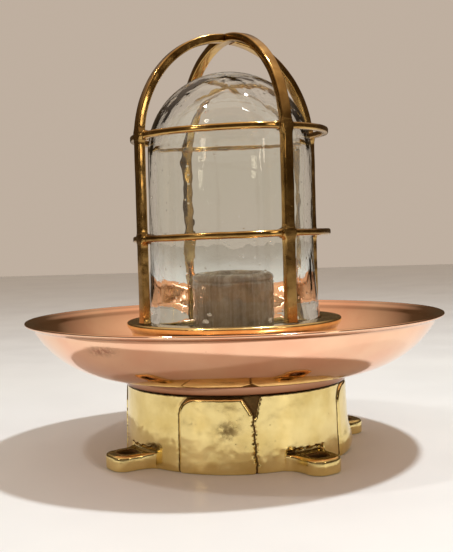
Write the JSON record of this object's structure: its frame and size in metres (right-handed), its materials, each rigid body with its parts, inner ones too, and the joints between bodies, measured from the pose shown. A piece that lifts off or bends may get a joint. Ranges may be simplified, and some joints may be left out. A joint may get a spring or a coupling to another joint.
{
  "type": "ship lantern",
  "caption": "Brass bulkhead lantern with a spun copper dish shade, a screwed guard of hoops and rings over a clear glass globe, and a porcelain lamp holder.",
  "frame": {"origin": "On the lantern's axis in the plane of the base's underside, which is the mounting face.", "axes": "+Z runs along the axis from the base's underside to the crown of the guard; +X is to the right and -Y to the front as the lantern stands in the reference view."},
  "size_m": [0.2032, 0.2032, 0.2037],
  "materials": {
    "base_brass": "cast, polished, pale yellow",
    "collar_brass": "turned and polished",
    "cage_brass": "cast and polished, golden",
    "ring_brass": "cast and polished, golden",
    "copper": "spun and polished copper",
    "globe_glass": "clear, faint green",
    "porcelain": "glazed off-white",
    "rubber": "matte",
    "contact_brass": "stamped",
    "spring_steel": "bright wire",
    "zinc_steel": "zinc plated",
    "block_plastic": "moulded",
    "brown_pvc": "extruded",
    "blue_pvc": "extruded",
    "green_pvc": "extruded"
  },
  "bodies": {
    "base": {"base_casting": "base_brass", "shade_washer_lower": "rubber", "copper_shade": "copper", "shade_washer_upper": "rubber", "lampholder_body": "porcelain", "lampholder_shell": "contact_brass", "contact_spring": "spring_steel", "holder_bracket": "zinc_steel", "holder_screw_1": "zinc_steel", "holder_screw_2": "zinc_steel", "bracket_screw_1": "zinc_steel", "bracket_screw_2": "zinc_steel", "terminal_screw_live": "contact_brass", "terminal_screw_neutral": "contact_brass", "terminal_block": "block_plastic", "block_screw": "zinc_steel", "earth_screw": "contact_brass", "lead_live": "brown_pvc", "lead_neutral": "blue_pvc", "lead_earth": "green_pvc"},
    "globe": {"glass_globe": "globe_glass", "globe_gasket": "rubber"},
    "cage": {"cage_collar": "collar_brass", "cage_hoop": "cage_brass", "cage_half_hoop_left": "cage_brass", "cage_half_hoop_right": "cage_brass", "cage_ring_upper": "ring_brass", "cage_ring_lower": "ring_brass"},
    "contact": {"centre_contact": "contact_brass"}
  },
  "joints": [
    {"name": "guard_lift", "type": "slide", "parent": "base", "child": "globe", "axis": [0, 0, 1], "range_m": [0, 0.008]},
    {"name": "cage_turn", "type": "hinge", "parent": "globe", "child": "cage", "pos_m": [0, 0, 0.0644], "axis": [0, 0, 1], "range_deg": [0, 1440]},
    {"name": "contact_press", "type": "slide", "parent": "base", "child": "contact", "axis": [0, 0, -1], "range_m": [0, 0.0018], "stiffness_N_per_m": 500, "deforming": ["contact_spring"]}
  ],
  "couplings": [
    {"joint": "guard_lift", "follows": "cage_turn", "m_per_rad": 0.0003183}
  ]
}
